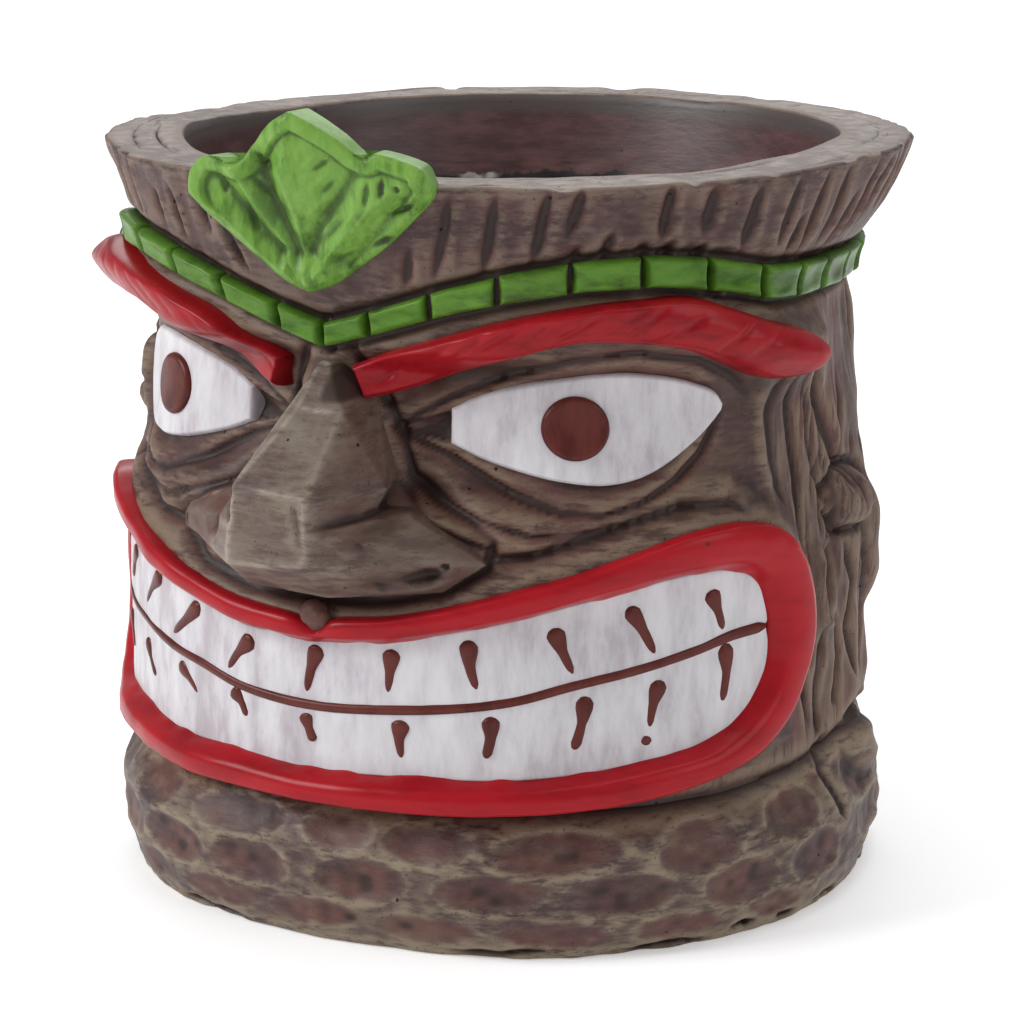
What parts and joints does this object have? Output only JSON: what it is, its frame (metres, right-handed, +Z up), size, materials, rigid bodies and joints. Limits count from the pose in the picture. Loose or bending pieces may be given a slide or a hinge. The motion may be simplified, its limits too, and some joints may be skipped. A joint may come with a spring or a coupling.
{
  "type": "tiki mug",
  "caption": "Handleless cast tiki mug: a carved tree-trunk head with red brows and lips, white eyes and teeth, a green tiled headband and a leaf at the rim.",
  "frame": {"origin": "centre of the flat underside", "axes": "+Z up, the face looks along -Y, +X is the face's own left (the viewer's right)"},
  "size_m": [0.1426, 0.1506, 0.1409],
  "materials": {
    "painted_resin": "cast resin, dark brown wash with olive-tan and red-brown dry brushing, matt to satin",
    "red_enamel": "glossy red brushed enamel",
    "white_enamel": "satin white brushed enamel with thin streaks",
    "brown_enamel": "satin red-brown enamel",
    "green_enamel": "satin leaf-green enamel over dark grooves"
  },
  "bodies": {
    "root": {"pot_shell": "painted_resin", "nose": "painted_resin", "brow_left": "red_enamel", "eye_left": "white_enamel", "pupil_left": "brown_enamel", "brow_right": "red_enamel", "eye_right": "white_enamel", "pupil_right": "brown_enamel", "lips": "red_enamel", "teeth_upper": "white_enamel", "teeth_lower": "white_enamel", "band_tile_left_01": "green_enamel", "band_tile_left_02": "green_enamel", "band_tile_left_03": "green_enamel", "band_tile_left_04": "green_enamel", "band_tile_left_05": "green_enamel", "band_tile_left_06": "green_enamel", "band_tile_left_07": "green_enamel", "band_tile_left_08": "green_enamel", "band_tile_left_09": "green_enamel", "band_tile_left_10": "green_enamel", "band_tile_left_11": "green_enamel", "band_tile_left_12": "green_enamel", "band_tile_left_13": "green_enamel", "band_tile_left_14": "green_enamel", "band_tile_left_15": "green_enamel", "band_tile_left_16": "green_enamel", "band_tile_left_17": "green_enamel", "band_tile_left_18": "green_enamel", "band_tile_right_01": "green_enamel", "band_tile_right_02": "green_enamel", "band_tile_right_03": "green_enamel", "band_tile_right_04": "green_enamel", "band_tile_right_05": "green_enamel", "band_tile_right_06": "green_enamel", "band_tile_right_07": "green_enamel", "band_tile_right_08": "green_enamel", "band_tile_right_09": "green_enamel", "band_tile_right_10": "green_enamel", "band_tile_right_11": "green_enamel", "band_tile_right_12": "green_enamel", "band_tile_right_13": "green_enamel", "band_tile_right_14": "green_enamel", "band_tile_right_15": "green_enamel", "band_tile_right_16": "green_enamel", "band_tile_right_17": "green_enamel", "band_tile_right_18": "green_enamel", "leaf": "green_enamel"}
  },
  "joints": []
}
